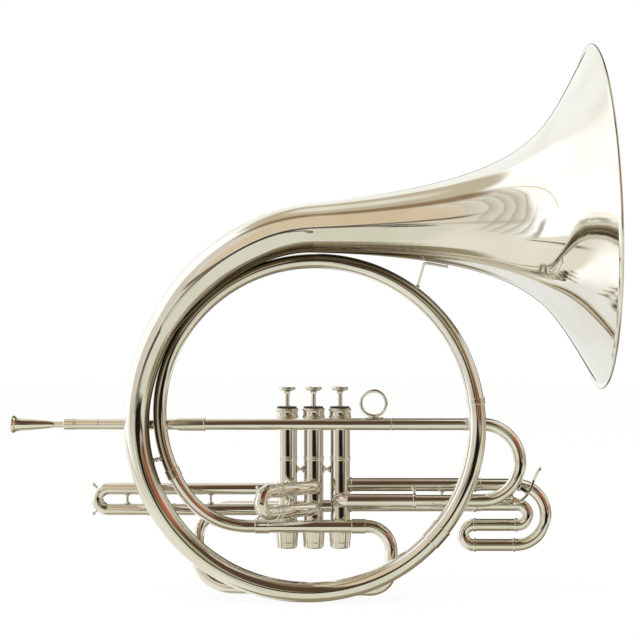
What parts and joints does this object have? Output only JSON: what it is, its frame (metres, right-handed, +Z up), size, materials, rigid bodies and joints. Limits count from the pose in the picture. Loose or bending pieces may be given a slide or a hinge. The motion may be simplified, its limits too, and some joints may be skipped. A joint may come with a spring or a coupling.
{
  "type": "marching french horn",
  "caption": "Forward-facing coiled brass horn with piston valves, sliding tuning crooks, a water key, a removable mouthpiece and a wide flared bell.",
  "frame": {"origin": "on the axis of the middle valve, at the height where the hand holds the casings", "axes": "+X towards the open face of the bell, +Y to the side away from the coil and the bell, +Z up along the valves"},
  "size_m": [0.5437, 0.314, 0.5096],
  "materials": {
    "nickel_plate": "polished warm nickel plate",
    "monel": "lapped nickel alloy",
    "bare_brass": "machined",
    "spring_steel": "drawn wire",
    "felt": "pressed wool felt",
    "cork": "natural cork"
  },
  "bodies": {
    "root": {"valve_casing_1": "nickel_plate", "valve_top_cap_1": "nickel_plate", "valve_bottom_cap_1": "nickel_plate", "valve_felt_1": "felt", "valve_guide_1": "bare_brass", "valve_spring_1": "spring_steel", "valve_casing_2": "nickel_plate", "valve_top_cap_2": "nickel_plate", "valve_bottom_cap_2": "nickel_plate", "valve_felt_2": "felt", "valve_guide_2": "bare_brass", "valve_spring_2": "spring_steel", "valve_casing_3": "nickel_plate", "valve_top_cap_3": "nickel_plate", "valve_bottom_cap_3": "nickel_plate", "valve_felt_3": "felt", "valve_guide_3": "bare_brass", "valve_spring_3": "spring_steel", "valve_crossover_1": "nickel_plate", "valve_crossover_2": "nickel_plate", "valve_stay_1": "nickel_plate", "valve_stay_2": "nickel_plate", "mouthpiece_receiver": "nickel_plate", "leadpipe": "nickel_plate", "leadpipe_sleeve": "nickel_plate", "tuning_slide_outer_tube": "nickel_plate", "return_tube": "nickel_plate", "first_slide_outer_tubes": "nickel_plate", "second_slide_outer_tubes": "nickel_plate", "third_slide_outer_tubes": "nickel_plate", "exit_loop": "nickel_plate", "bottom_tube": "nickel_plate", "coil_first_branch": "nickel_plate", "coil_second_branch": "nickel_plate", "coil_third_branch": "nickel_plate", "bell_tail": "nickel_plate", "bell": "nickel_plate", "pinky_ring": "nickel_plate", "bell_brace": "nickel_plate", "coil_limb_stay": "nickel_plate"},
    "valve_1": {"valve_piston_1": "monel", "valve_stem_1": "nickel_plate", "valve_button_1": "nickel_plate"},
    "valve_2": {"valve_piston_2": "monel", "valve_stem_2": "nickel_plate", "valve_button_2": "nickel_plate"},
    "valve_3": {"valve_piston_3": "monel", "valve_stem_3": "nickel_plate", "valve_button_3": "nickel_plate"},
    "mouthpiece": {"mouthpiece": "nickel_plate"},
    "tuning_slide": {"tuning_slide_bow": "nickel_plate", "water_key_spout": "nickel_plate", "water_key_saddle": "nickel_plate", "water_key_pin": "spring_steel", "water_key_spring": "spring_steel"},
    "water_key": {"water_key_lever": "nickel_plate", "water_key_cork": "cork"},
    "first_slide": {"first_slide_bow": "nickel_plate"},
    "second_slide": {"second_slide_bow": "nickel_plate"},
    "third_slide": {"third_slide_wrap": "nickel_plate"}
  },
  "joints": [
    {"name": "valve_1_press", "type": "slide", "parent": "root", "child": "valve_1", "axis": [0, 0, -1], "range_m": [0, 0.0119], "stiffness_N_per_m": 160, "springref_m": -0.018, "deforming": ["valve_spring_1"]},
    {"name": "valve_2_press", "type": "slide", "parent": "root", "child": "valve_2", "axis": [0, 0, -1], "range_m": [0, 0.0119], "stiffness_N_per_m": 160, "springref_m": -0.018, "deforming": ["valve_spring_2"]},
    {"name": "valve_3_press", "type": "slide", "parent": "root", "child": "valve_3", "axis": [0, 0, -1], "range_m": [0, 0.0119], "stiffness_N_per_m": 160, "springref_m": -0.018, "deforming": ["valve_spring_3"]},
    {"name": "tuning_slide_pull", "type": "slide", "parent": "root", "child": "tuning_slide", "axis": [1, 0, 0], "range_m": [0, 0.035]},
    {"name": "water_key_hinge", "type": "hinge", "parent": "tuning_slide", "child": "water_key", "pos_m": [0.19679, -0.017, -0.01084], "axis": [0, -1, 0], "range_deg": [0, 12], "stiffness_Nm_per_rad": 0.02, "springref_deg": -34.38},
    {"name": "first_slide_pull", "type": "slide", "parent": "root", "child": "first_slide", "axis": [-1, 0, 0], "range_m": [0, 0.045]},
    {"name": "second_slide_pull", "type": "slide", "parent": "root", "child": "second_slide", "axis": [-0.6997, -0.7145, 0], "range_m": [0, 0.018]},
    {"name": "third_slide_pull", "type": "slide", "parent": "root", "child": "third_slide", "axis": [1, 0, 0], "range_m": [0, 0.04]},
    {"name": "mouthpiece_pull", "type": "slide", "parent": "root", "child": "mouthpiece", "axis": [-1, 0, 0], "range_m": [0, 0.018]}
  ]
}
